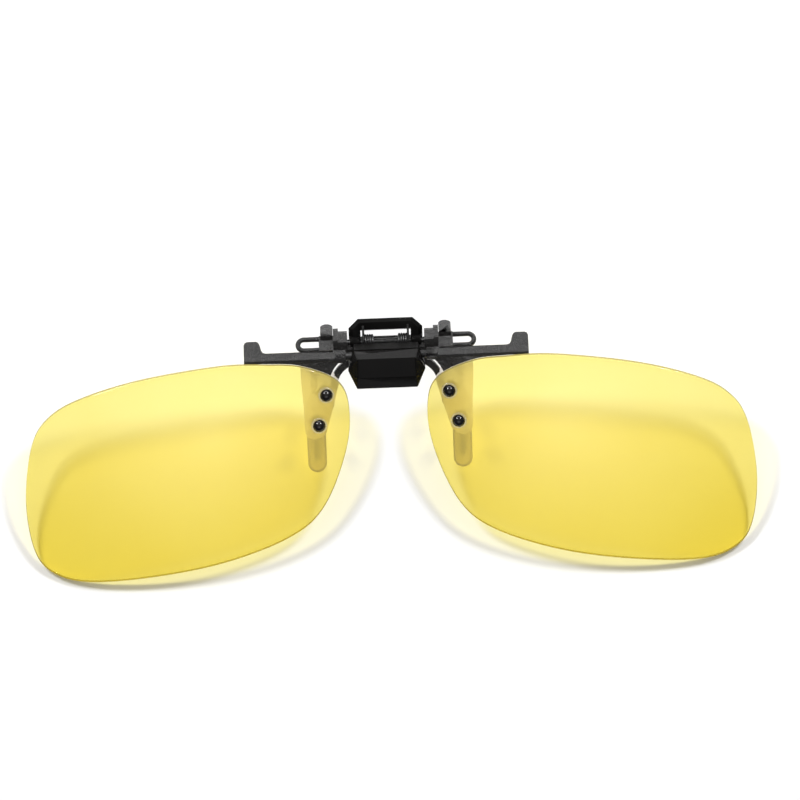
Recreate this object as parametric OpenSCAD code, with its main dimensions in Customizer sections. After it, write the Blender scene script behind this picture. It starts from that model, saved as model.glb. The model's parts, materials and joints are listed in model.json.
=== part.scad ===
// Clip-on flip-up lenses for spectacles, lying on their back on a table.
//
// Every piece is drawn in the worn frame: X to the viewer's right, Y back
// towards the wearer's face, Z up, with zero near the middle of the hinge.
// on_table() then lays the whole clip back until the lens corners and the two
// rest hooks touch the table. The origin is the middle of the footprint.
// The left lens is the one on the -X side.

/* [Lens] */
// Radius of the lens surface, convex to the front
lens_radius = 150; // [130:5:200]
// Thickness of the lens
lens_t = 1.1; // [0.8:0.1:1.2]
// Distance of each lens's middle from the centre plane
lens_x = 36; // [35:0.5:37]
// Height of the lens's middle below the hinge
lens_z = -19.4; // [-20:0.1:-19]
// Depth of the front of the lens at its middle
lens_front = -3.37; // [-3.6:0.01:-3.3]

/* [Flip hinge] */
// Depth of the flip axle
flip_y = 1.2; // [1.1:0.05:1.3]
// Height of the flip axle
flip_z = 0.7; // [0.6:0.05:0.8]
// Radius of the flip axle
axle_r = 0.7; // [0.6:0.05:0.75]
// Radial clearance where a shaft turns in a hole
run_gap = 0.04; // [0.02:0.01:0.08]

/* [Pinch lever] */
// Depth of the pinch pin
pinch_y = 6.4; // [6.3:0.05:6.5]
// Height of the pinch pin
pinch_z = 1.6; // [1.5:0.05:1.7]
// Radius of the pinch pin
pin_r = 0.6; // [0.5:0.05:0.65]
// Angle that the ring lever leans back
ring_lean = 20; // [15:1:22]
// Height of the ring lever above its pin
ring_h = 4.2; // [3.8:0.1:4.4]

/* [Jaws] */
// Distance of each prong's tip from the centre plane
prong_x = 13.1; // [12.8:0.1:13.4]
// Half-width of each soft sleeve
sleeve_r = 1.7; // [1.5:0.1:1.8]

/* [Bench] */
// Angle between the lenses and the table
table_lean = 13.4; // [13:0.1:13.8]

/* [Hidden] */
$fn = 72;

black = [0.07, 0.075, 0.07];
gloss_black = [0.04, 0.045, 0.04];
lens_yellow = [0.98, 0.86, 0.30, 0.55];
milky = [0.93, 0.91, 0.86];
steel = [0.7, 0.71, 0.72];
clear = [0.92, 0.94, 0.95, 0.5];

glue = 0.02;        // space between faces that are bonded or bolted together
slop = 0.05;        // space round a rivet's shank and a soft sleeve's core
left = -1;
right = 1;

// Lens outline on the right side, as (x, z), clockwise from its top.
lens_points = [
    [30, 0.5], [43.3, -1.3], [53.8, -4.3], [60.4, -7.9], [64, -13.4], [65.6, -24],
    [64.5, -33.4], [61.3, -37.7], [55, -39.4], [43, -38.5], [30, -36.1], [18.5, -32],
    [12.5, -27.1], [8.4, -18.2], [6.95, -10.2], [8.5, -4], [14.9, -0.6], [21.7, 0.3]
];
outline_steps = 6;

lens_back = lens_radius - lens_t;             // radius of the lens's back surface
wedge_front = lens_back - glue;
wedge_t = 1.9;
wedge_back = 2.7;                             // depth that the wedge stays in front of
tongue_t = 1.1;
tenon_skin = 0.55;                            // black skin in front of the tongue's tenon

upper_rivet = [10.9, -6.0];
lower_rivet = [12.45, -11.35];
rivet_hole_r = 0.6;
head_r = 1.15;
head_h = 0.8;
washer_t = 0.25;
washer_r = 1.45;

bar_front = -0.6;                             // front edge of the wing's bar
bar_top = 0.94;
bar_slope = 40;                               // slope of the bar's top face
bar_end = 25.4;
bar_depth = 1.64;                             // width of the bar along its slope
knuckle_in = 7.25;
knuckle_out = 9.6;
knuckle_r = 1.15;

block_half = 6.9;                             // widest half-width of the hinge block
wall_front = 3;                               // front of the frame's cross wall
wall_back = 4.4;
ear_in = 6.9;
ear_out = 9.4;
loop_slope = 45;
loop_r = 1.1;                                 // bend radius of a rim loop's end
loop_wire = 0.45;
loop_end = 16.2;

jaw_y = 3.0;                                  // front of the front jaw's strip
jaw_t = 1.0;
jaw_w = 1.2;
sleeve_front = 2.55;
sleeve_back = 4.45;
rear_y = 9.3;                                 // back of the rear jaw at its top bar
rear_z = -0.6;
rear_tip = -21.8;                             // height of the rear sleeve's tip

// ---------------------------------------------------------------- geometry

// One point of a closed smooth curve, on the span that starts at point i.
function curve_point(p, i, t) =
    let (n = len(p), a = p[(i + n - 1) % n], b = p[i], c = p[(i + 1) % n], d = p[(i + 2) % n])
    0.5 * (2 * b + (c - a) * t + (2 * a - 5 * b + 4 * c - d) * t * t
        + (3 * b - a - 3 * c + d) * t * t * t);

function closed_curve(p, steps) =
    [for (i = [0 : len(p) - 1], k = [0 : steps - 1]) curve_point(p, i, k / steps)];

lens_outline = closed_curve(lens_points, outline_steps);

// Depth of a surface of the lens at (x, z), for the surface of the given radius.
function lens_depth(x, z, r) =
    lens_front + lens_radius - sqrt(r * r - pow(x - lens_x, 2) - pow(z - lens_z, 2));

// Where a worn point (y, z) comes to once the clip lies on its back.
function table_y(y, z) = y * sin(table_lean) + z * cos(table_lean);
function table_z(y, z) = z * sin(table_lean) - y * cos(table_lean);

lens_floor = min([for (p = lens_outline) table_z(lens_depth(p.x, p.y, lens_back), p.y)]);
lens_low = min([for (p = lens_outline) table_y(lens_depth(p.x, p.y, lens_radius), p.y)]);

ring_front = 0.9;                             // front of the ring lever, ahead of its pin
ring_back = 0.9;
ring_bevel = 0.7;
ring_top_y = pinch_y + ring_h * sin(ring_lean) - (ring_front - ring_bevel) * cos(ring_lean);
ring_top_z = pinch_z + ring_h * cos(ring_lean) + (ring_front - ring_bevel) * sin(ring_lean);
lens_high = table_y(ring_top_y, ring_top_z);

// Lays the worn clip on its back, with the middle of its footprint at zero.
module on_table() {
    translate([0, -(lens_low + lens_high) / 2, -lens_floor])
        rotate([table_lean - 90, 0, 0])
            children();
}

// Mirrors a piece drawn for the right side.
module on_side(side) {
    if (side == left) mirror([1, 0, 0]) children();
    else children();
}

// Extrudes an (x, z) drawing from depth y to depth y + t.
module plate(y, t) {
    translate([0, y + t, 0]) rotate([90, 0, 0]) linear_extrude(t) children();
}

// Extrudes a (y, z) drawing from x to x + w.
module slice_x(x, w) {
    translate([x, 0, 0]) rotate([90, 0, 90]) linear_extrude(w) children();
}

module rod_x(x, w, y, z, r) {
    translate([x, y, z]) rotate([0, 90, 0]) cylinder(h = w, r = r);
}

// Curved layer between two radii about the lens's centre of curvature.
module lens_layer(outer, inner) {
    intersection() {
        translate([lens_x, lens_front + lens_radius, lens_z])
            difference() {
                sphere(r = outer, $fn = 240);
                sphere(r = inner, $fn = 240);
            }
        plate(-6, 12) children();
    }
}

// Stands a piece on the lens at (x, z), its +Z pointing out of the front face.
module on_lens(p) {
    dx = p.x - lens_x;
    dz = p.y - lens_z;
    yaw = asin(dx / lens_radius);
    pitch = atan2(dz, sqrt(lens_radius * lens_radius - dx * dx - dz * dz));
    translate([lens_x, lens_front + lens_radius, lens_z])
        rotate([0, 0, yaw]) rotate([90 - pitch, 0, 0])
            translate([0, 0, lens_radius]) children();
}

module both_rivets() {
    on_lens(upper_rivet) children();
    on_lens(lower_rivet) children();
}

module rivet_bores(r) {
    both_rivets() translate([0, 0, -5]) cylinder(h = 8, r = r);
}

// ------------------------------------------------------------- lens pieces

module lens_shape() {
    polygon(lens_outline);
}

module lens(side) {
    color(lens_yellow) on_table() on_side(side) difference() {
        lens_layer(lens_radius, lens_back) lens_shape();
        rivet_bores(rivet_hole_r);
    }
}

module rivet() {
    tail_z = -lens_t - tongue_t - glue * 3 - washer_t;
    dome_r = (head_r * head_r + head_h * head_h) / (2 * head_h);
    intersection() {
        translate([0, 0, washer_t + glue * 2 + head_h - dome_r]) sphere(r = dome_r);
        translate([0, 0, washer_t + glue * 2]) cylinder(h = 2, r = 3);
    }
    translate([0, 0, tail_z - 0.2])
        cylinder(h = washer_t + glue * 2 + 0.3 - tail_z, r = rivet_hole_r - slop);
    translate([0, 0, tail_z - 0.35]) cylinder(h = 0.35 - glue, r = 0.9);
}

module washer(z, r) {
    translate([0, 0, z]) difference() {
        cylinder(h = washer_t, r = r);
        translate([0, 0, -1]) cylinder(h = 2, r = rivet_hole_r);
    }
}

module lens_rivets() {
    color(black) for (side = [left, right]) on_table() on_side(side) both_rivets() rivet();
}

module front_washers() {
    color(clear) for (side = [left, right]) on_table() on_side(side) both_rivets() washer(glue, washer_r);
}

module back_washers() {
    z = -lens_t - tongue_t - glue * 2 - washer_t;
    color(steel) for (side = [left, right]) on_table() on_side(side) both_rivets() washer(z, 1.3);
}

module tongue_shape() {
    polygon([
        [8.7, -4.3], [9.3, -6.6], [10.4, -10.4], [11.2, -13], [12, -13.9], [13.4, -14.2],
        [14.5, -13.7], [15, -12.6], [15.1, -8], [15.4, -2.4], [15.4, 0.6], [9.2, 0.6]
    ]);
}

module tenon_shape() {
    polygon([[15.4, -3], [15.4, -0.3], [11.5, -0.3], [9.9, -1.7], [9.4, -2.8], [9.4, -6]]);
}

// Milky backing pad: full thickness under the lens, and a thin tenon that
// slides up behind the wing's skin.
module tongue(side) {
    color(milky) on_table() on_side(side) difference() {
        union() {
            lens_layer(wedge_front, wedge_front - tongue_t)
                intersection() { tongue_shape(); lens_shape(); }
            lens_layer(wedge_front - tenon_skin - glue, wedge_front - tongue_t) tenon_shape();
        }
        rivet_bores(rivet_hole_r);
    }
}

// ------------------------------------------------------------ wing and axle

// L-shaped top plate of the wing: the bar, then the tab at its outer end.
module bar_shape() {
    polygon([
        [ear_out, 0], [bar_end, 0], [bar_end, 3.5], [25.2, 4], [24.8, 4.22], [23.2, 4.22],
        [22.8, 4], [22.55, 3.5], [22.25, 2.2], [22, 1.8], [21.5, bar_depth], [ear_out, bar_depth]
    ]);
}

module bar_rib_shape() {
    polygon([[bar_front, 0.5], [bar_front, bar_top], [0.4, 1.8], [1.3, 1.5], [1.3, 0.5]]);
}

// Black web between the bar and the top edge of the lens.
module wedge_shape() {
    difference() {
        polygon([[7.4, 0.9], [7.4, 0.1], [9.3, -3.4], [14, -3.4], [bar_end, 0], [bar_end, 0.9]]);
        lens_shape();
        translate([4.6, -5]) circle(r = 5.95);
    }
}

module wing(side) {
    color(black) on_table() on_side(side) difference() {
        union() {
            translate([0, bar_front, bar_top]) rotate([bar_slope, 0, 0])
                translate([0, 0, -0.9]) linear_extrude(0.9) bar_shape();
            slice_x(knuckle_out - 0.4, bar_end - knuckle_out + 0.4) bar_rib_shape();
            intersection() {
                lens_layer(wedge_front, wedge_front - wedge_t) wedge_shape();
                translate([7, -6, -6]) cube([20, wedge_back + 6, 8]);
            }
            rod_x(knuckle_in, knuckle_out - knuckle_in, flip_y, flip_z, knuckle_r);
        }
        rod_x(knuckle_in - 1, 2.9, flip_y, flip_z, axle_r + 0.01);
        lens_layer(wedge_front - tenon_skin, wedge_front - tongue_t - glue)
            offset(delta = glue) tenon_shape();
    }
}

// Steel axle with flats in the middle for the detent spring.
module flip_axle() {
    flat_half = 2.8;
    flat_z = 0.5;
    color(steel) on_table() difference() {
        rod_x(-9.1, 18.2, flip_y, flip_z, axle_r);
        for (s = [-1, 1])
            translate([-flat_half, flip_y - 2, flip_z + (s > 0 ? flat_z : -flat_z - 1)])
                cube([2 * flat_half, 4, 1]);
        for (s = [-1, 1])
            translate([-flat_half, flip_y + (s > 0 ? flat_z : -flat_z - 1), flip_z - 2])
                cube([2 * flat_half, 1, 4]);
    }
}

// ------------------------------------------------------- hinge block pieces

module block_shape() {
    polygon([
        [-5.75, 2.42], [5.75, 2.42], [block_half, -0.9], [5.4, -4.35], [-5.4, -4.35],
        [-block_half, -0.9]
    ]);
}

module spring_room() {
    translate([-3, -2.9, -0.85]) cube([6, 5.2, 2.5]);
}

module hinge_block() {
    color(black) on_table() difference() {
        plate(-0.6, 3.5) block_shape();
        spring_room();
        rod_x(-8, 16, flip_y, flip_z, axle_r + run_gap);
    }
}

// Corners of the cover, clockwise from the top left: its flat face, the widest
// outline behind the bevels, and the same outline at the joint with the block.
cover_face = [for (p = [[-5.1, 1.7], [5.1, 1.7], [5.2, -1.85], [-5.2, -1.85]]) [p.x, -4, p.y]];
cover_rim = [for (p = [[-5.45, 2], [5.45, 2], [block_half, -0.9], [5.4, -4.35], [-5.4, -4.35],
    [-block_half, -0.9]]) [p.x, -2.3, p.y]];
cover_joint = [for (p = [[-5.7, 2.3], [5.7, 2.3], [block_half, -0.9], [5.4, -4.35], [-5.4, -4.35],
    [-block_half, -0.9]]) [p.x, -0.62, p.y]];

// Bevelled front cover, like a picture frame round a flat face.
module hinge_cover() {
    bevels = [[0, 4, 5], [0, 5, 1], [1, 5, 6], [1, 6, 2], [2, 6, 7], [2, 7, 8], [2, 8, 3],
        [3, 8, 9], [3, 9, 0], [0, 9, 4]];
    sides = [for (k = [0 : 5], half = [0, 1]) let (j = (k + 1) % 6)
        half == 0 ? [4 + k, 10 + k, 10 + j] : [4 + k, 10 + j, 4 + j]];
    color(gloss_black) on_table() difference() {
        polyhedron(
            points = concat(cover_face, cover_rim, cover_joint),
            faces = concat([[3, 2, 1, 0]], bevels, sides, [[10, 11, 12, 13, 14, 15]])
        );
        spring_room();
    }
}

// Leaf spring: an arch whose crown presses on the axle's flat.
module detent_spring() {
    leaf_w = 5.2;
    color(steel) on_table() slice_x(-leaf_w / 2, leaf_w) polygon([
        [-2.8, -0.8], [-2.4, -0.8], [-2.3, -0.5], [0.3, -0.08], [2, -0.08], [2, -0.8],
        [2.25, -0.8], [2.25, 0.17], [0.2, 0.17], [-2.5, -0.25]
    ]);
}

// --------------------------------------------------------------- jaw frame

module ear_shape() {
    polygon([
        [wall_front, -0.3], [wall_front, 2.81], [4.35, 4.16], [5.2, 4.2], [7.9, 2.4], [7.9, 0.4],
        [6.6, -0.3]
    ]);
}

module ear_strip_shape() {
    polygon([
        [wall_front + 0.2, -0.3], [wall_front + 0.2, 3.1], [4.7, 4.55], [5.5, 4.65], [7.9, 2.6],
        [7.9, 0.4], [6.6, -0.3]
    ]);
}

// Tilted frame of the rim loops, with its zero in the middle of a loop.
module on_loop() {
    translate([0, 5.4, 1.76]) rotate([loop_slope, 0, 0]) children();
}

module rim_loop() {
    bend_x = loop_end - loop_wire - loop_r;
    for (s = [-1, 1])
        translate([ear_out - 0.3, s * loop_r, 0]) rotate([0, 90, 0])
            cylinder(h = bend_x - ear_out + 0.3, r = loop_wire);
    translate([bend_x, 0, 0]) rotate([0, 0, -90])
        rotate_extrude(angle = 180) translate([loop_r, 0]) circle(r = loop_wire);
}

// Hook that rests on the top of the spectacle rim, and on the table here.
module rest_hook() {
    translate([0, 6.1, 2.42]) rotate([6.5, 0, 0]) linear_extrude(1)
        polygon([[9.5, -0.6], [11.7, -0.6], [11.7, 3.6], [11.4, 4.2], [10.9, 4.6], [10.3, 4.6],
            [9.8, 4.2], [9.5, 3.6]]);
}

module jaw_frame() {
    color(black) on_table() difference() {
        union() {
            translate([-ear_out, wall_front, 0]) cube([2 * ear_out, wall_back - wall_front, 1.4]);
            for (side = [left, right]) on_side(side) {
                slice_x(ear_in, 1.7) ear_shape();
                slice_x(ear_in + 1.6, ear_out - ear_in - 1.6) ear_strip_shape();
                on_loop() rim_loop();
                on_loop() translate([ear_out - 0.1, -1.45, -0.45]) cube([2.7, 2.95, 0.9]);
                rest_hook();
            }
        }
        rod_x(-12, 24, pinch_y, pinch_z, pin_r + 0.01);
    }
}

module pinch_pin() {
    color(steel) on_table() rod_x(-9.3, 18.6, pinch_y, pinch_z, pin_r);
}

// ------------------------------------------------------------- jaw strips

// Arched strip: a top bar of half-length cx, then a quarter ring that turns down.
module arch_shape(cx, cz, r, w) {
    translate([-cx, cz + r - w / 2]) square([2 * cx, w]);
    for (s = [left, right]) on_side(s) translate([cx, cz]) intersection() {
        difference() {
            circle(r = r + w / 2);
            circle(r = r - w / 2);
        }
        square(r + w);
    }
}

module link_shape(p, q, r) {
    hull() {
        translate(p) circle(r = r, $fn = 32);
        translate(q) circle(r = r, $fn = 32);
    }
}

module front_jaw() {
    color(black) on_table() {
        plate(jaw_y, jaw_t) arch_shape(4.6, -5.7, 5, jaw_w);
        for (s = [left, right]) on_side(s) {
            plate(jaw_y, jaw_t) link_shape([9.6, -5.95], [11.3, -8.6], 0.58);
            plate(jaw_y, jaw_t) link_shape([11.3, -8.6], [prong_x, -12.3], 0.75);
        }
    }
}

module front_sleeve(side) {
    color(milky) on_table() on_side(side) difference() {
        plate(sleeve_front, sleeve_back - sleeve_front)
            link_shape([11.3, -8.6], [prong_x, -12.3], sleeve_r);
        plate(jaw_y - slop, jaw_t + 2 * slop) {
            link_shape([11.3, -8.6], [prong_x, -12.3], 0.75 + slop);
            link_shape([9.6, -5.8], [11.3, -8.6], 0.6 + slop);
        }
    }
}

// Plane of the rear jaw, parallel to the table. Its local z is height along
// the plane, and its back face is at local y = 0.
module on_rear_plane() {
    translate([0, rear_y, rear_z]) rotate([-table_lean, 0, 0])
        translate([0, 0, -rear_z]) children();
}

rear_core_front = -jaw_t;
rear_arch_x = 8.5;
rear_arch_z = -4.6;
rear_arch_r = 4.6;
rear_leg_z = -19.6;
rear_tip_z = rear_tip / cos(table_lean) - rear_z * (1 / cos(table_lean) - 1);

module rear_jaw() {
    color(black) on_table() on_rear_plane() {
        plate(rear_core_front, jaw_t) arch_shape(rear_arch_x, rear_arch_z, rear_arch_r, jaw_w);
        plate(rear_core_front, jaw_t) translate([-4.5, -0.5]) square([9, 2.2]);
        for (s = [left, right]) on_side(s)
            plate(rear_core_front, jaw_t)
                link_shape([prong_x, rear_arch_z - 0.3], [prong_x, rear_leg_z], 0.58);
    }
}

module rear_sleeve(side) {
    sleeve_t = 1.5;
    sleeve_y = -0.5 - sleeve_t / 2 - 0.05;
    color(milky) on_table() on_side(side) on_rear_plane() difference() {
        plate(sleeve_y, sleeve_t)
            link_shape([prong_x, -10], [prong_x, rear_tip_z + sleeve_r], sleeve_r);
        plate(rear_core_front - slop, jaw_t + 2 * slop)
            link_shape([prong_x, rear_arch_z], [prong_x, rear_leg_z], 0.6 + slop);
    }
}

// -------------------------------------------------------------- ring lever

module on_ring_plane() {
    translate([0, pinch_y, pinch_z]) rotate([-ring_lean, 0, 0]) children();
}

ring_half = 6.6;
ring_shoulder = [ring_half, 2.6];
ring_corner = [4.9, ring_h];
shoulder_turn = atan2(ring_h - ring_shoulder.y, ring_half - ring_corner.x);
shoulder_reach = ring_half * sin(shoulder_turn) + ring_shoulder.y * cos(shoulder_turn);

module ring_shape() {
    polygon([
        [-ring_half, -0.6], [ring_half, -0.6], ring_shoulder, ring_corner,
        [-ring_corner.x, ring_corner.y], [-ring_shoulder.x, ring_shoulder.y]
    ]);
}

// Slices off the plate's front edge at 45 degrees, on the side that faces
// turn degrees from straight up and lies reach from the pin.
module ring_chamfer(turn, reach) {
    rotate([0, turn, 0]) translate([0, -ring_front, reach - ring_bevel])
        rotate([45, 0, 0]) translate([-10, -3, 0]) cube([20, 6, 3]);
}

module ring_plate() {
    difference() {
        plate(-ring_front, ring_front + ring_back) ring_shape();
        ring_chamfer(0, ring_h);
        for (s = [-1, 1]) {
            ring_chamfer(s * shoulder_turn, shoulder_reach);
            ring_chamfer(s * 90, ring_half);
        }
        translate([-4.5, -2, -2]) cube([9, 4, 4.15]);
        translate([-8, -2, -2]) cube([16, 4, 1.6]);
    }
}

// Side web from the pin back to the rear jaw.
module lever_web_shape() {
    web_lean = tan(table_lean);
    web_end = rear_y - 1.08;                  // just in front of the rear jaw's bar
    polygon([
        [pinch_y, 2.4], [7.6, 2.3], [web_end + (1.6 - rear_z) * web_lean, 1.6],
        [web_end, rear_z], [7.4, -0.3], [pinch_y, 0.8]
    ]);
}

module ring_lever() {
    lug_r = 1.25;
    color(gloss_black) on_table() difference() {
        union() {
            on_ring_plane() ring_plate();
            for (side = [left, right]) on_side(side) {
                rod_x(4.7, 1.7, pinch_y, pinch_z, lug_r);
                slice_x(4.9, 1.3) lever_web_shape();
            }
        }
        rod_x(-8, 16, pinch_y, pinch_z, pin_r + run_gap);
    }
}

// Round wire swept along a path that stays square to X, as one closed solid.
module wire(path, r) {
    sides = 8;
    n = len(path);
    rings = [for (i = [0 : n - 1])
        let (t = path[min(i + 1, n - 1)] - path[max(i - 1, 0)], along = t / norm(t))
        let (u = [1, 0, 0] - along.x * along, across = u / norm(u), up = cross(along, across))
        for (k = [0 : sides - 1]) path[i] + r * (cos(k * 360 / sides) * across + sin(k * 360 / sides) * up)];
    skin = [for (i = [0 : n - 2], k = [0 : sides - 1], half = [0, 1])
        let (j = (k + 1) % sides, a = i * sides)
        half == 0 ? [a + k, a + j, a + sides + j] : [a + k, a + sides + j, a + sides + k]];
    cap_a = [for (k = [sides - 1 : -1 : 0]) k];
    cap_b = [for (k = [0 : sides - 1]) (n - 1) * sides + k];
    polyhedron(points = rings, faces = concat([cap_a, cap_b], skin));
}

// Torsion spring: coils round the pin, one arm down the frame's wall and one
// arm up the front of the ring.
module pinch_spring(side) {
    coil_r = 1.25;
    turns = 4;
    pitch = 0.42;
    coil_x = 2.3;
    step = 30;
    last = turns * 360 + ring_lean;
    coil = [for (a = [0 : step : last])
        [coil_x + pitch * a / 360, pinch_y - coil_r * cos(a), pinch_z + coil_r * sin(a)]];
    down_arm = [coil_x, pinch_y - coil_r, pinch_z - 1.4];
    up_arm = coil[len(coil) - 1] + 2.9 * [0, sin(ring_lean), cos(ring_lean)];
    color(steel) on_table() on_side(side) wire(concat([down_arm], coil, [up_arm]), 0.2);
}

// ------------------------------------------------------------------- nodes

jaw_frame();
hinge_block();
hinge_cover();
detent_spring();
pinch_pin();
front_jaw();
front_sleeve(left);  // left_front_sleeve
front_sleeve(right);  // right_front_sleeve
flip_axle();
wing(left);  // left_wing
wing(right);  // right_wing
tongue(left);  // left_tongue
tongue(right);  // right_tongue
lens(left);  // left_lens
lens(right);  // right_lens
lens_rivets();
front_washers();
back_washers();
ring_lever();
rear_jaw();
rear_sleeve(left);  // left_rear_sleeve
rear_sleeve(right);  // right_rear_sleeve
pinch_spring(left);  // left_spring
pinch_spring(right);  // right_spring
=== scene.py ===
"""Looks for a pair of rimless yellow clip-on flip-up lenses, lying on its back on a white table.

Lengths in the helper calls are millimetres in the worn frame: X to the viewer's right, Y back
towards the wearer, Z up. worn() turns them into the row frame's metres.
"""

import json
import math

import bmesh
import bpy
from mathutils import Matrix, Vector


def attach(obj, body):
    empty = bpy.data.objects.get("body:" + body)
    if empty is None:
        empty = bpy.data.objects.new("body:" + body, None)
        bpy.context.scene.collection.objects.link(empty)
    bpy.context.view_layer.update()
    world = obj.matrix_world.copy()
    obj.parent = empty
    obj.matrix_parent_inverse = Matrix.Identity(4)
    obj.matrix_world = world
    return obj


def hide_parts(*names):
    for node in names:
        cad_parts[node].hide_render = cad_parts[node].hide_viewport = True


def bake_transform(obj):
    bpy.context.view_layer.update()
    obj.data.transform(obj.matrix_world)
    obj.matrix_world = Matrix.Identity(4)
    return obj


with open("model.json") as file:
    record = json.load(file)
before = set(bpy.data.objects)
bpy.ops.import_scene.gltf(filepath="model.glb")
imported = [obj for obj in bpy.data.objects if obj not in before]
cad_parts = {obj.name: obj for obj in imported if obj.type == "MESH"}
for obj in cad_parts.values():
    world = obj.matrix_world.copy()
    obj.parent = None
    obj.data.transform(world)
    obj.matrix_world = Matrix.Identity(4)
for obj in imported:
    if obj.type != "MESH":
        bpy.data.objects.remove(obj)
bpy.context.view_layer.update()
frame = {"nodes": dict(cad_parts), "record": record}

MM = 0.001
NODES = frame["nodes"]
SIDES = {"left": -1, "right": 1}

# ------------------------------------------------------------------ worn frame

LEAN = math.radians(13.4)  # angle between the lenses and the table
FLIP_Y, FLIP_Z = 1.2, 0.7  # the flip axle
PINCH_Y, PINCH_Z = 6.4, 1.6  # the pinch pin
joint_at = {j["name"]: Vector(j["pos_m"]) for j in frame["record"]["behaviour"]["joints"]}

TO_ROW = Matrix.Rotation(LEAN - math.pi / 2, 3, "X")
ORIGIN = joint_at["lens_flip"] - TO_ROW @ Vector((0, FLIP_Y, FLIP_Z)) * MM


def worn(x, y, z):
    """A worn-frame point in the row frame, in metres."""
    return ORIGIN + TO_ROW @ Vector((x, y, z)) * MM


def worn_dir(x, y, z):
    """A worn-frame direction in the row frame."""
    return (TO_ROW @ Vector((x, y, z))).normalized()


# ------------------------------------------------------------------ the camera

VIEW_UP = math.radians(18)  # camera above the clip's front normal
ROLL = math.radians(2.2)  # the clip lies turned this much anticlockwise in the picture
DISTANCE = 1.2  # metres from the hinge
FIELD_WIDTH = 0.1426  # metres across the picture at the clip
SENSOR = 36  # sensor width, mm
AIM_RIGHT, AIM_DOWN = 0.0024, 0.0070  # from the hinge to the middle of the picture


def make_camera():
    """Looks down at the clip from in front, far enough off for a nearly flat perspective."""
    back = worn_dir(0, -math.cos(VIEW_UP), math.sin(VIEW_UP))
    level_right = Vector((1, 0, 0))
    level_up = back.cross(level_right)
    right = level_right * math.cos(ROLL) - level_up * math.sin(ROLL)
    up = level_up * math.cos(ROLL) + level_right * math.sin(ROLL)
    aim = worn(0, 0, 0) + right * AIM_RIGHT - up * AIM_DOWN
    cam = bpy.data.cameras.new("camera")
    cam.sensor_width = SENSOR
    cam.lens = SENSOR * DISTANCE / FIELD_WIDTH
    cam.clip_start = 0.01
    cam.clip_end = 10
    obj = bpy.data.objects.new("camera", cam)
    bpy.context.collection.objects.link(obj)
    basis = Matrix((right, up, back)).transposed().to_4x4()
    basis.translation = aim + back * DISTANCE
    obj.matrix_world = basis
    bpy.context.scene.camera = obj


# ------------------------------------------------------------------- materials


class Nodes:
    """Short calls for building one material's node tree."""

    def __init__(self, name):
        self.mat = bpy.data.materials.new(name)
        self.mat.use_nodes = True
        self.tree = self.mat.node_tree
        self.tree.nodes.clear()
        self.out = self.add("ShaderNodeOutputMaterial")

    def add(self, kind, **inputs):
        node = self.tree.nodes.new(kind)
        for key, value in inputs.items():
            node.inputs[key.replace("_", " ")].default_value = value
        return node

    def link(self, a, b):
        self.tree.links.new(a, b)

    def noise(self, scale, detail, roughness=0.55):
        coords = self.add("ShaderNodeTexCoord")
        node = self.add("ShaderNodeTexNoise", Scale=scale, Detail=detail, Roughness=roughness)
        self.link(coords.outputs["Object"], node.inputs["Vector"])
        return node

    def ramp(self, source, stops):
        node = self.add("ShaderNodeValToRGB")
        points = node.color_ramp.elements
        while len(points) < len(stops):
            points.new(0.5)
        for point, (where, colour) in zip(points, stops):
            point.position = where
            point.color = (*colour, 1)
        self.link(source, node.inputs["Fac"])
        return node

    def spread(self, source, low, high):
        node = self.add("ShaderNodeMapRange")
        node.inputs["To Min"].default_value = low
        node.inputs["To Max"].default_value = high
        self.link(source, node.inputs["Value"])
        return node

    def bump(self, source, strength, distance):
        node = self.add("ShaderNodeBump", Strength=strength, Distance=distance)
        self.link(source, node.inputs["Height"])
        return node


MIX_A, MIX_B, MIX_RESULT = 6, 7, 2  # the colour sockets of a Mix node


def grey(value, warm=0.0):
    """A grey, a little warmer than neutral."""
    return (value * (1 + warm), value, value * (1 - warm))


def moulded_plastic(name, base, rough, grain, grain_depth, gloss):
    """Black moulded plastic: fine spark-eroded grain, uneven sheen and paler sharp edges, a painted
    highlight.
    """
    n = Nodes(name)
    fine = n.noise(grain, 3.0, 0.6)
    broad = n.noise(260, 4.0, 0.5)
    darker, lighter = grey(base * 0.75, 0.05), grey(base * 1.3, 0.05)
    tint = n.ramp(broad.outputs["Fac"], [(0.3, darker), (0.7, lighter)])
    edges = n.add("ShaderNodeNewGeometry")
    # Painted highlight: sharp edges are mixed towards a paler grey, standing in for light catching
    # them.
    painted_edge_highlight = n.ramp(edges.outputs["Pointiness"], [(0.52, (0, 0, 0)), (0.62, (1, 1, 1))])
    mix = n.add("ShaderNodeMix")
    mix.data_type = "RGBA"
    n.link(painted_edge_highlight.outputs["Color"], mix.inputs["Factor"])
    n.link(tint.outputs["Color"], mix.inputs[MIX_A])
    mix.inputs[MIX_B].default_value = (*grey(base * 2.4, 0.04), 1)
    sheen = n.spread(broad.outputs["Fac"], rough * 0.8, rough * 1.2)
    shader = n.add("ShaderNodeBsdfPrincipled")
    n.link(mix.outputs[MIX_RESULT], shader.inputs["Base Color"])
    n.link(sheen.outputs[0], shader.inputs["Roughness"])
    shader.inputs["IOR"].default_value = 1.5
    shader.inputs["Specular IOR Level"].default_value = gloss
    n.link(n.bump(fine.outputs["Fac"], 1.0, grain_depth).outputs[0], shader.inputs["Normal"])
    n.link(shader.outputs[0], n.out.inputs["Surface"])
    return n.mat


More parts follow.
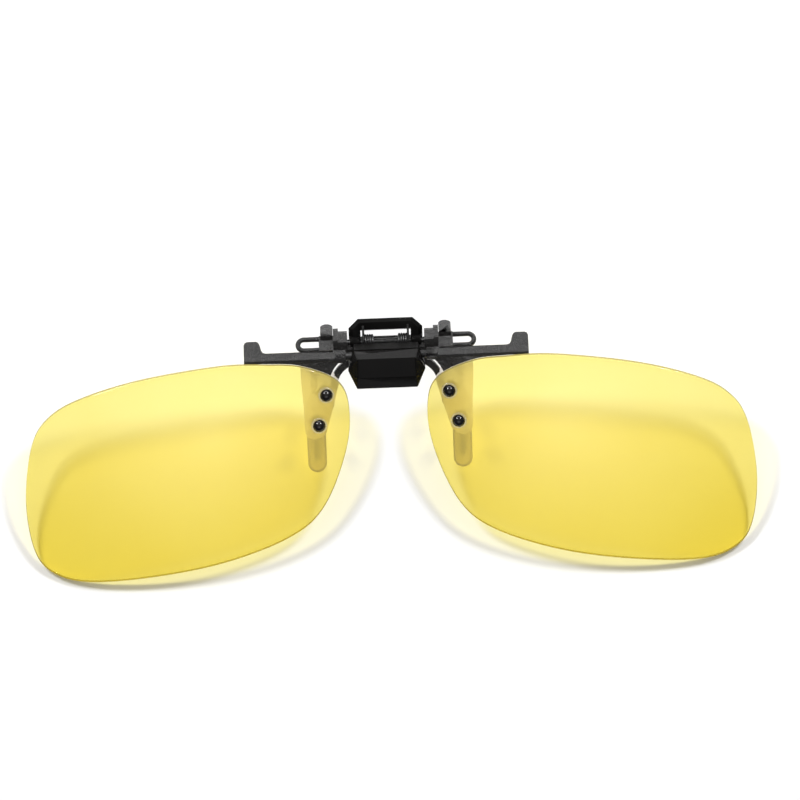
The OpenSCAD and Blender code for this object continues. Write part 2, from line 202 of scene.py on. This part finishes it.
def dark_steel(name, base, rough):
    """Blackened steel wire and pins, with drawn lines and small bright rubs."""
    n = Nodes(name)
    streak = n.noise(2200, 3.0)
    tint = n.ramp(streak.outputs["Fac"], [(0.35, grey(base * 0.6)), (0.75, grey(base * 1.6))])
    sheen = n.spread(streak.outputs["Fac"], rough * 0.8, rough * 1.3)
    shader = n.add("ShaderNodeBsdfPrincipled")
    n.link(tint.outputs["Color"], shader.inputs["Base Color"])
    shader.inputs["Metallic"].default_value = 0.85
    n.link(sheen.outputs[0], shader.inputs["Roughness"])
    n.link(n.bump(streak.outputs["Fac"], 0.2, 0.00001).outputs[0], shader.inputs["Normal"])
    n.link(shader.outputs[0], n.out.inputs["Surface"])
    return n.mat


def milky_material(name, colour, lets_through, see_through, rough):
    """Milky plastic or silicone, lit through from behind, that is a little see-through."""
    n = Nodes(name)
    cloud = n.noise(420, 3.0, 0.5)
    fine = n.noise(3500, 2.0)
    low = tuple(c * 0.95 for c in colour)
    tint = n.ramp(cloud.outputs["Fac"], [(0.3, low), (0.7, colour)])
    sheen = n.spread(cloud.outputs["Fac"], rough * 0.85, rough * 1.15)
    body = n.add("ShaderNodeBsdfPrincipled")
    n.link(tint.outputs["Color"], body.inputs["Base Color"])
    n.link(sheen.outputs[0], body.inputs["Roughness"])
    n.link(n.bump(fine.outputs["Fac"], 0.15, 0.00002).outputs[0], body.inputs["Normal"])
    glow = n.add("ShaderNodeBsdfTranslucent")
    n.link(tint.outputs["Color"], glow.inputs["Color"])
    lit = n.add("ShaderNodeMixShader")
    lit.inputs["Fac"].default_value = lets_through
    n.link(body.outputs[0], lit.inputs[1])
    n.link(glow.outputs[0], lit.inputs[2])
    clear = n.add("ShaderNodeBsdfTransparent")
    clear.inputs["Color"].default_value = (*colour, 1)
    mix = n.add("ShaderNodeMixShader")
    mix.inputs["Fac"].default_value = see_through
    n.link(lit.outputs[0], mix.inputs[1])
    n.link(clear.outputs[0], mix.inputs[2])
    n.link(mix.outputs[0], n.out.inputs["Surface"])
    return n.mat


def tinted_clear(name, tint, shine, rough, haze):
    """Thin clear sheet: a tint per surface, with an even gloss and a trace of haze."""
    n = Nodes(name)
    drift = n.noise(60, 2.0, 0.4)
    deeper = tuple(c ** 1.06 for c in tint)
    tone = n.ramp(drift.outputs["Fac"], [(0.35, deeper), (0.65, tint)])
    clear = n.add("ShaderNodeBsdfTransparent")
    n.link(tone.outputs["Color"], clear.inputs["Color"])
    gloss = n.add("ShaderNodeBsdfGlossy")
    gloss.inputs["Roughness"].default_value = rough
    gloss.inputs["Color"].default_value = (1, 1, 1, 1)
    ripple = n.noise(35, 1.0)
    n.link(n.bump(ripple.outputs["Fac"], 0.05, 0.0002).outputs[0], gloss.inputs["Normal"])
    sheet = n.add("ShaderNodeMixShader")
    sheet.inputs["Fac"].default_value = shine
    n.link(clear.outputs[0], sheet.inputs[1])
    n.link(gloss.outputs[0], sheet.inputs[2])
    cloud = n.add("ShaderNodeBsdfDiffuse")
    cloud.inputs["Color"].default_value = (*tint, 1)
    mix = n.add("ShaderNodeMixShader")
    mix.inputs["Fac"].default_value = haze
    n.link(sheet.outputs[0], mix.inputs[1])
    n.link(cloud.outputs[0], mix.inputs[2])
    n.link(mix.outputs[0], n.out.inputs["Surface"])
    return n.mat


def table_material():
    """White paper-like table top, almost without sheen."""
    n = Nodes("table_white")
    soft = n.noise(14, 2.0)
    tone = n.ramp(soft.outputs["Fac"], [(0.3, (0.90, 0.90, 0.90)), (0.7, (0.92, 0.92, 0.92))])
    shader = n.add("ShaderNodeBsdfPrincipled")
    n.link(tone.outputs["Color"], shader.inputs["Base Color"])
    shader.inputs["Roughness"].default_value = 0.9
    shader.inputs["Specular IOR Level"].default_value = 0.1
    n.link(shader.outputs[0], n.out.inputs["Surface"])
    return n.mat


SURFACE_TINT = (0.955, 0.90, 0.52)  # each of the lens's two surfaces takes half of the tint
MATERIALS = {
    "frame_black": moulded_plastic(
        "frame_black", base=0.004, rough=0.3, grain=2400, grain_depth=0.00022, gloss=0.36
    ),
    "cover_black": moulded_plastic(
        "cover_black", base=0.003, rough=0.24, grain=2600, grain_depth=0.00001, gloss=0.06
    ),
    # A darker, duller copy of the black plastic: painted shade for the hinge block and ring lever.
    "painted_shade_black": moulded_plastic(
        "painted_shade_black", base=0.002, rough=0.3, grain=4200, grain_depth=0.00003, gloss=0.03
    ),
    "lens_rim": tinted_clear(
        "lens_rim", tint=(0.42, 0.36, 0.12), shine=0.12, rough=0.3, haze=0.55
    ),
    "black_steel": dark_steel("black_steel", base=0.03, rough=0.35),
    "spring_steel": dark_steel("spring_steel", base=0.05, rough=0.3),
    "rivet_black": moulded_plastic(
        "rivet_black", base=0.008, rough=0.14, grain=1800, grain_depth=0.000004, gloss=0.4
    ),
    "milky_plastic": milky_material(
        "milky_plastic", colour=(0.97, 0.94, 0.92), lets_through=0.6, see_through=0.35, rough=0.4
    ),
    "milky_silicone": milky_material(
        "milky_silicone", colour=(0.74, 0.70, 0.66), lets_through=0.3, see_through=0.12, rough=0.5
    ),
    "lens_yellow": tinted_clear(
        "lens_yellow", tint=SURFACE_TINT, shine=0.045, rough=0.05, haze=0.006
    ),
    "clear_washer": tinted_clear(
        "clear_washer", tint=(0.95, 0.955, 0.96), shine=0.05, rough=0.08, haze=0.06
    ),
    "table_white": table_material(),
}
SLOT_OF = {s["node"]: s["material_slot"] for s in frame["record"]["subparts"]}
# The hinge block and ring lever take the darker copy instead of their slot's material, as painted
# shade.
DARKER = {"hinge_block": "painted_shade_black", "ring_lever": "painted_shade_black"}  # instead of their slot's


def dress(obj, slot):
    obj.data.materials.clear()
    obj.data.materials.append(MATERIALS[slot])


def dress_cad_nodes():
    """Gives every CAD node its material, and small rounded edges that catch the light."""
    for name, obj in NODES.items():
        dress(obj, DARKER.get(name, SLOT_OF[name]))
        round_edges(obj, EDGE_ROUND)


# ---------------------------------------------------------------- mesh helpers


def new_mesh(name, verts, faces):
    """A smooth-shaded object with its normals outwards, its vertices in metres."""
    mesh = bpy.data.meshes.new(name)
    mesh.from_pydata([tuple(v) for v in verts], [], faces)
    mesh.validate()
    work = bmesh.new()
    work.from_mesh(mesh)
    bmesh.ops.recalc_face_normals(work, faces=work.faces)
    work.to_mesh(mesh)
    work.free()
    mesh.polygons.foreach_set("use_smooth", [True] * len(mesh.polygons))
    obj = bpy.data.objects.new(name, mesh)
    bpy.context.collection.objects.link(obj)
    return obj


def stand_in(obj, body, slot, *nodes):
    """Finishes a detailed piece that takes the place of CAD nodes."""
    dress(obj, slot)
    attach(obj, body)
    if nodes:
        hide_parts(*nodes)
    return obj


EDGE_ROUND = 0.12
SHARP_ANGLE = 30  # edges that turn by more than this are rounded, degrees
WELD_WITHIN = 0.002


def round_edges(obj, width):
    """Joins the CAD mesh's split vertices, then rounds its sharp edges."""
    weld = obj.modifiers.new("weld", "WELD")
    weld.merge_threshold = WELD_WITHIN * MM
    mod = obj.modifiers.new("edge_round", "BEVEL")
    mod.width = width * MM
    mod.segments = 2
    mod.limit_method = "ANGLE"
    mod.angle_limit = math.radians(SHARP_ANGLE)
    mod.harden_normals = True
    mod.use_clamp_overlap = True


# ---------------------------------------------------------------------- lenses

LENS_R, LENS_T = 150.0, 1.1  # radius of the front surface, thickness
LENS_X, LENS_Z, LENS_FRONT = 36.0, -19.4, -3.37  # the right lens's frontmost point
LENS_RIM, LENS_RINGS = 0.16, 14  # rounding of the rim, rings of faces
LENS_POINTS = [  # outline of the right lens, X and Z
    (30, 0.5), (43.3, -1.3), (53.8, -4.3), (60.4, -7.9), (64, -13.4), (65.6, -24),
    (64.5, -33.4), (61.3, -37.7), (55, -39.4), (43, -38.5), (30, -36.1), (18.5, -32),
    (12.5, -27.1), (8.4, -18.2), (6.95, -10.2), (8.5, -4), (14.9, -0.6), (21.7, 0.3),
]  # fmt: skip
OUTLINE_STEPS = 16  # points from one outline point to the next
RIVETS = [(10.9, -6.0), (12.45, -11.35)]  # X and Z of each rivet in the right lens
RIVET_HOLE, HOLE_SIDES = 0.6, 40
DRILL_DEPTHS = (-6, 3)  # ends of the hole cutter, from the lens's front
RIM_FACING = 0.5  # faces turned further from the lens's front than this belong to the rim


def curve_point(p, i, t):
    """A point between p[i] and the next on a closed Catmull-Rom curve."""
    n = len(p)
    a, b, c, d = (Vector(p[(i + k) % n]) for k in (-1, 0, 1, 2))
    square = 2 * a - 5 * b + 4 * c - d
    cube = 3 * b - a - 3 * c + d
    return 0.5 * (2 * b + (c - a) * t + square * t**2 + cube * t**3)


def closed_curve(points, steps):
    return [curve_point(points, i, k / steps) for i in range(len(points)) for k in range(steps)]


def lens_depth(x, z, radius):
    """Y of the lens's surface of the given radius at (x, z)."""
    return LENS_FRONT + LENS_R - math.sqrt(radius**2 - (x - LENS_X) ** 2 - (z - LENS_Z) ** 2)


def shell_between(outline, middle, outer, inner, edge, rings):
    """Vertices and faces of a curved sheet with a rounded rim, between two radii of the lens."""
    count = len(outline)
    profile = [(k / rings, 0.0, 0.0) for k in range(1, rings)]
    bend = [math.radians(a) for a in (0, 22.5, 45, 67.5, 90)]
    profile += [(1.0, edge * (1 - math.sin(a)), edge * (1 - math.cos(a))) for a in bend]
    normals = []
    for i in range(count):
        t = (outline[(i + 1) % count] - outline[i - 1]).normalized()
        normals.append(Vector((-t.y, t.x)))
    if (outline[0] - middle).dot(normals[0]) < 0:
        normals = [-n for n in normals]
    front, back = [], []
    for u, inset, drop in profile:
        for i in range(count):
            p = middle + (outline[i] - middle) * u if u < 1 else outline[i] - normals[i] * inset
            front.append((p.x, lens_depth(p.x, p.y, outer - drop), p.y))
            back.append((p.x, lens_depth(p.x, p.y, inner + drop), p.y))
    verts = [(middle.x, lens_depth(middle.x, middle.y, outer), middle.y), *front]
    base = len(verts)
    verts += [(middle.x, lens_depth(middle.x, middle.y, inner), middle.y), *back]
    faces = []
    for start in (0, base):
        faces += [(start, start + 1 + i, start + 1 + (i + 1) % count) for i in range(count)]
        for r in range(len(profile) - 1):
            row = start + 1 + r * count
            for i in range(count):
                j = (i + 1) % count
                faces.append((row + i, row + count + i, row + count + j, row + j))
    last_front = 1 + (len(profile) - 1) * count
    last_back = base + last_front
    for i in range(count):
        j = (i + 1) % count
        faces.append((last_front + i, last_back + i, last_back + j, last_front + j))
    return verts, faces


def on_lens(x, z):
    """Worn-frame matrix that stands a piece on the lens's front at (x, z), +Z outwards."""
    dx, dz = x - LENS_X, z - LENS_Z
    yaw = math.asin(dx / LENS_R)
    pitch = math.atan2(dz, math.sqrt(LENS_R**2 - dx**2 - dz**2))
    centre = Vector((LENS_X, LENS_FRONT + LENS_R, LENS_Z))
    turn = Matrix.Rotation(yaw, 4, "Z") @ Matrix.Rotation(math.pi / 2 - pitch, 4, "X")
    return Matrix.Translation(centre) @ turn @ Matrix.Translation((0, 0, LENS_R))


def mirrored(verts, side):
    """Right-hand worn-frame points in the row frame, on the given side."""
    return [worn(side * v[0], v[1], v[2]) for v in verts]


def cut_rivet_holes(obj, side):
    """Drills the two rivet holes, and leaves the lens as one plain mesh."""
    verts, faces = [], []
    sides = HOLE_SIDES
    for x, z in RIVETS:
        stand = on_lens(x, z)
        start = len(verts)
        for height in DRILL_DEPTHS:
            for k in range(sides):
                a = 2 * math.pi * k / sides
                across = (RIVET_HOLE * math.cos(a), RIVET_HOLE * math.sin(a))
                verts.append(stand @ Vector((*across, height)))
        faces += [
            (start + k, start + (k + 1) % sides, start + sides + (k + 1) % sides, start + sides + k)
            for k in range(sides)
        ]
        faces.append(tuple(start + k for k in range(sides)))
        faces.append(tuple(start + sides + k for k in range(sides)))
    cutter = new_mesh("cutter", mirrored(verts, side), faces)
    mod = obj.modifiers.new("holes", "BOOLEAN")
    mod.object = cutter
    mod.operation = "DIFFERENCE"
    mod.solver = "EXACT"
    graph = bpy.context.evaluated_depsgraph_get()
    drilled = bpy.data.meshes.new_from_object(obj.evaluated_get(graph))
    obj.modifiers.clear()
    obj.data = drilled
    bpy.data.objects.remove(cutter)


def smooth_by_angle(obj, degrees):
    obj.data.polygons.foreach_set("use_smooth", [True] * len(obj.data.polygons))
    obj.data.set_sharp_from_angle(angle=math.radians(degrees))


def make_lenses():
    """The two lenses, drilled, with a darker second material on their rims."""
    made = []
    outline = closed_curve(LENS_POINTS, OUTLINE_STEPS)
    middle = Vector((LENS_X, LENS_Z))
    verts, faces = shell_between(outline, middle, LENS_R, LENS_R - LENS_T, LENS_RIM, LENS_RINGS)
    for name, side in SIDES.items():
        lens = new_mesh(f"{name}_lens_clear", mirrored(verts, side), faces)
        cut_rivet_holes(lens, side)
        smooth_by_angle(lens, 40)
        stand_in(lens, "flip_lenses", "lens_yellow", f"{name}_lens")
        lens.data.materials.append(MATERIALS["lens_rim"])
        outwards = worn_dir(0, -1, 0)
        for face in lens.data.polygons:
            if abs(face.normal.dot(outwards)) < RIM_FACING:
                face.material_index = 1
        made.append(lens)
    return made


# --------------------------------------------------------- rivets and washers

# Heights run outwards from the lens's front.
HEAD_R, HEAD_H, HEAD_SEAT = 1.15, 0.8, 0.29
SHANK_R = 0.55
TAIL_R, TAIL_TOP = 0.9, -2.53
AXIS_R = 0.0001  # stands for a radius of nothing
WASHER_BORE = 0.6
FRONT_WASHER = {"rim": 1.45, "low": 0.02, "high": 0.27, "edge": 0.08}
BACK_WASHER = {"rim": 1.3, "low": -2.49, "high": -2.24, "edge": 0.06}


def turned(profile, stands, sides=48):
    """Turns a closed (radius, height) profile about +Z, once for each matrix in stands."""
    verts, faces = [], []
    count = len(profile)
    for stand, side in stands:
        start = len(verts)
        for k in range(sides):
            a = 2 * math.pi * k / sides
            for r, h in profile:
                v = stand @ Vector((r * math.cos(a), r * math.sin(a), h))
                verts.append(worn(side * v.x, v.y, v.z))
        for k in range(sides):
            here, there = start + k * count, start + (k + 1) % sides * count
            for i in range(count):
                j = (i + 1) % count
                faces.append((here + i, there + i, there + j, here + j))
    return verts, faces


def arc(r, h, radius, first, last, steps=5):
    """Points of a rounded corner in a (radius, height) profile, angles in degrees."""
    turns = [math.radians(first + (last - first) * k / steps) for k in range(steps + 1)]
    return [(r + radius * math.cos(a), h + radius * math.sin(a)) for a in turns]


def washer_profile(rim, low, high, edge):
    return [
        *arc(rim - edge, high - edge, edge, 90, 0),
        *arc(rim - edge, low + edge, edge, 0, -90),
        (WASHER_BORE, low),
        (WASHER_BORE, high),
    ]


def rivet_profile():
    """Domed head, shank through the lens and tongue, and a flat tail with broken edges."""
    dome = (HEAD_R**2 + HEAD_H**2) / (2 * HEAD_H)
    centre = HEAD_SEAT + HEAD_H - dome
    top = math.asin((dome - HEAD_H) / dome)
    angles = [math.pi / 2 - (math.pi / 2 - top) * k / 12 for k in range(13)]
    cap = [(max(dome * math.cos(a), AXIS_R), centre + dome * math.sin(a)) for a in angles]
    return [
        *cap[:-1],
        (HEAD_R, HEAD_SEAT + 0.03),
        (HEAD_R - 0.04, HEAD_SEAT),
        (SHANK_R, HEAD_SEAT),
        (SHANK_R, TAIL_TOP),
        (TAIL_R - 0.08, TAIL_TOP),
        (TAIL_R, TAIL_TOP - 0.08),
        (TAIL_R, TAIL_TOP - 0.23),
        (TAIL_R - 0.12, TAIL_TOP - 0.32),
        (AXIS_R, TAIL_TOP - 0.33),
    ]


def make_rivets():
    stands = [(on_lens(*p), side) for side in SIDES.values() for p in RIVETS]
    pieces = [
        ("rivet_heads", rivet_profile(), "rivet_black", "lens_rivets"),
        ("washers_clear", washer_profile(**FRONT_WASHER), "clear_washer", "front_washers"),
        ("washers_tail", washer_profile(**BACK_WASHER), "spring_steel", "back_washers"),
    ]
    for name, profile, slot, node in pieces:
        piece = new_mesh(name, *turned(profile, stands))
        smooth_by_angle(piece, 35)
        stand_in(piece, "flip_lenses", slot, node)


# --------------------------------------------------------------- soft sleeves

SLEEVE_R = 1.7
SLEEVE_X = 13.1
FRONT_TOP, FRONT_TIP = (11.3, -8.6), (SLEEVE_X, -12.3)  # end centres of the front sleeve
FRONT_DEPTHS, FRONT_EDGE = (2.55, 4.45), 0.7
REAR_TOP, REAR_TIP = -10, -21.8  # heights of the rear sleeve's top centre and tip
REAR_DEPTHS, REAR_EDGE = (-1.3, 0.2), 0.6
REAR_Y, REAR_BEND = 9.3, -0.6  # the leg leans about this line
FLAT_ROWS = (0.75, 0.35)  # insets of the two rows of points on each flat face


def stadium(p, q, radius, steps=24):
    """Outline of a rounded bar from p to q."""
    p, q = Vector(p), Vector(q)
    along = math.atan2(q.y - p.y, q.x - p.x)
    points = []
    for centre, first in ((q, along - math.pi / 2), (p, along + math.pi / 2)):
        for k in range(steps + 1):
            a = first + math.pi * k / steps
            normal = Vector((math.cos(a), math.sin(a)))
            points.append((centre + radius * normal, normal))
    return points


def soft_slab(outline, front, back, edge, steps=7):
    """A slab between depths front and back, its edges rounded."""
    half = [math.radians(90 * k / steps) for k in range(steps + 1)]
    rows = [(edge + inset, front) for inset in FLAT_ROWS]
    rows += [(edge * (1 - math.sin(a)), front + edge * (1 - math.cos(a))) for a in half]
    rows += [(edge * (1 - math.sin(a)), back - edge * (1 - math.cos(a))) for a in reversed(half)]
    rows += [(edge + inset, back) for inset in reversed(FLAT_ROWS)]
    count = len(outline)
    verts = []
    for inset, y in rows:
        for point, normal in outline:
            flat = point - normal * inset
            verts.append(Vector((flat.x, y, flat.y)))
    faces = [tuple(range(count)), tuple(range(len(verts) - count, len(verts)))]
    for r in range(len(rows) - 1):
        for i in range(count):
            j = (i + 1) % count
            faces.append((r * count + i, r * count + j, (r + 1) * count + j, (r + 1) * count + i))
    return verts, faces


def make_sleeves():
    """Soft sleeves on the four fingers; the rear legs lean so that they lie along the table."""
    pivot = Matrix.Translation((0, REAR_Y, REAR_BEND))
    lean = pivot @ Matrix.Rotation(-LEAN, 4, "X") @ Matrix.Translation((0, 0, -REAR_BEND))
    slant = 1 / math.cos(LEAN)
    tip = (SLEEVE_X, REAR_TIP * slant - REAR_BEND * (slant - 1) + SLEEVE_R)
    for name, side in SIDES.items():
        outline = stadium(FRONT_TOP, FRONT_TIP, SLEEVE_R)
        verts, faces = soft_slab(outline, *FRONT_DEPTHS, FRONT_EDGE)
        front = new_mesh(f"{name}_front_finger", mirrored(verts, side), faces)
        stand_in(front, "clip", "milky_silicone", f"{name}_front_sleeve")
        outline = stadium((SLEEVE_X, REAR_TOP), tip, SLEEVE_R)
        verts, faces = soft_slab(outline, *REAR_DEPTHS, REAR_EDGE)
        rear = new_mesh(f"{name}_rear_finger", mirrored([lean @ v for v in verts], side), faces)
        stand_in(rear, "pinch_lever", "milky_silicone", f"{name}_rear_sleeve")


# --------------------------------------------------------------- coil springs

COIL_R, COIL_X = 1.25, 2.3  # radius to the wire's middle, start of the coil
WIRE_R = 0.2
COIL_PITCH, COILS = 0.42, 4
ARM_LEAN, COIL_STEP = 20, 10  # extra turn at the end of the coil, and one step along it, degrees
LOWER_ARM = (1.4, 0.7, 0.25)  # distances along each straight arm
UPPER_ARM = (0.25, 1.4, 2.9)


def tube(path, radius, sides=14):
    """A closed round tube along a path."""
    verts, faces = [], []
    last = len(path) - 1
    for i, p in enumerate(path):
        along = (path[min(i + 1, last)] - path[max(i - 1, 0)]).normalized()
        across = (Vector((1, 0, 0)) - along * along.x).normalized()
        up = along.cross(across)
        for k in range(sides):
            a = 2 * math.pi * k / sides
            verts.append(p + (across * math.cos(a) + up * math.sin(a)) * radius)
    for i in range(last):
        for k in range(sides):
            j = (k + 1) % sides
            faces.append((i * sides + k, i * sides + j, (i + 1) * sides + j, (i + 1) * sides + k))
    faces += [tuple(range(sides)), tuple(range(last * sides, (last + 1) * sides))]
    return verts, faces


def make_springs():
    """Torsion springs round the pinch pin, reaching from the clip to the pinch lever."""
    turns = [math.radians(a) for a in range(0, COILS * 360 + ARM_LEAN + 1, COIL_STEP)]
    middle = Vector((COIL_X, PINCH_Y, PINCH_Z))
    coil = []
    for a in turns:
        along = COIL_PITCH * a / math.tau
        coil.append(middle + Vector((along, -COIL_R * math.cos(a), COIL_R * math.sin(a))))
    down = [Vector((COIL_X, PINCH_Y - COIL_R, PINCH_Z - d)) for d in LOWER_ARM]
    rise = Vector((0, math.sin(math.radians(ARM_LEAN)), math.cos(math.radians(ARM_LEAN))))
    up = [coil[-1] + rise * d for d in UPPER_ARM]
    verts, faces = tube([*down, *coil, *up], WIRE_R)
    for name, side in SIDES.items():
        spring = new_mesh(f"{name}_coil_spring", mirrored(verts, side), faces)
        smooth_by_angle(spring, 50)
        dress(spring, "spring_steel")
        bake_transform(spring)
        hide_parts(f"{name}_spring")


# ------------------------------------------------------------- table and light

TABLE_HALF = 1.2
WORLD = 0.05
GLOW = 2.1  # brightness at the middle of the overhead card
GLOW_SIZE = (0.62, 0.5, 1)
GLOW_PLACE = (-26, 0.75)  # each place is a turn in degrees and a distance, for sky()
KEY_PLACE, KEY_ASIDE = (50, 0.8), 38
KEY_SIZE, KEY_POWER = (0.16, 0.12), 4.4
OVERHEAD_PLACE, OVERHEAD_SIZE, OVERHEAD_POWER = (22, 0.36), (0.5, 0.18), 0.2
BACK_PLACE, BACK_SIZE, BACK_POWER = (68, 0.8), (0.7, 0.22), 2.4
SQUARE = [(-1, -1, 0), (1, -1, 0), (1, 1, 0), (-1, 1, 0)]


def sky(turn, distance, aside=0):
    """A point turn degrees from straight up to the clip's back, and aside degrees to the right."""
    a, b = math.radians(turn), math.radians(aside)
    level = distance * math.sin(a)
    return (level * math.sin(b), level * math.cos(b), distance * math.cos(a))


def make_table():
    verts = [Vector(corner) * TABLE_HALF for corner in SQUARE]
    table = new_mesh("table_top", verts, [(0, 1, 2, 3)])
    table.data.materials.append(MATERIALS["table_white"])


def area_light(name, where, size, power):
    """A white rectangular light that faces the middle of the table."""
    light = bpy.data.lights.new(name, "AREA")
    light.shape = "RECTANGLE"
    light.size, light.size_y = size
    light.energy = power
    obj = bpy.data.objects.new(name, light)
    bpy.context.collection.objects.link(obj)
    obj.location = where
    obj.rotation_euler = Vector(where).to_track_quat("Z", "Y").to_euler()
    return obj


def make_world():
    """An even, faint white surround."""
    world = bpy.data.worlds.new("studio")
    bpy.context.scene.world = world
    world.use_nodes = True
    tree = world.node_tree
    tree.nodes.clear()
    out = tree.nodes.new("ShaderNodeOutputWorld")
    back = tree.nodes.new("ShaderNodeBackground")
    back.inputs["Color"].default_value = (1, 1, 1, 1)
    back.inputs["Strength"].default_value = WORLD
    tree.links.new(back.outputs[0], out.inputs["Surface"])


def make_glow_card():
    """Overhead card, bright in the middle and dark at its edge, that the lenses mirror.

    The camera doesn't see it, because it stands near the line of sight.
    """
    n = Nodes("glow_card")
    coords = n.add("ShaderNodeTexCoord")
    ball = n.add("ShaderNodeTexGradient")
    ball.gradient_type = "QUADRATIC_SPHERE"
    n.link(coords.outputs["Object"], ball.inputs["Vector"])
    power = n.spread(ball.outputs["Fac"], 0.0, GLOW)
    light = n.add("ShaderNodeEmission")
    light.inputs["Color"].default_value = (1, 1, 1, 1)
    n.link(power.outputs[0], light.inputs["Strength"])
    n.link(light.outputs[0], n.out.inputs["Surface"])
    card = new_mesh("glow_card", SQUARE, [(0, 1, 2, 3)])
    card.data.materials.append(n.mat)
    card.scale = GLOW_SIZE
    card.location = sky(*GLOW_PLACE)
    card.rotation_euler = Vector(card.location).to_track_quat("Z", "Y").to_euler()
    card.visible_camera = False


def make_light(lenses):
    """Two keys whose hard shadows come from the lenses alone, under a broad soft light."""
    casters = bpy.data.collections.new("key_shadow_casters")
    for lens in lenses:
        casters.objects.link(lens)
    area_light("overhead", sky(*OVERHEAD_PLACE), OVERHEAD_SIZE, OVERHEAD_POWER)
    for name, side in SIDES.items():
        key = area_light(f"key_{name}", sky(*KEY_PLACE, side * KEY_ASIDE), KEY_SIZE, KEY_POWER)
        key.light_linking.blocker_collection = casters
    area_light("back_low", sky(*BACK_PLACE), BACK_SIZE, BACK_POWER)
    bpy.context.scene.view_settings.view_transform = "Standard"


# ----------------------------------------------------------------------- build

make_camera()
make_world()
make_glow_card()
make_table()
dress_cad_nodes()
make_light(make_lenses())
make_rivets()
make_sleeves()
make_springs()
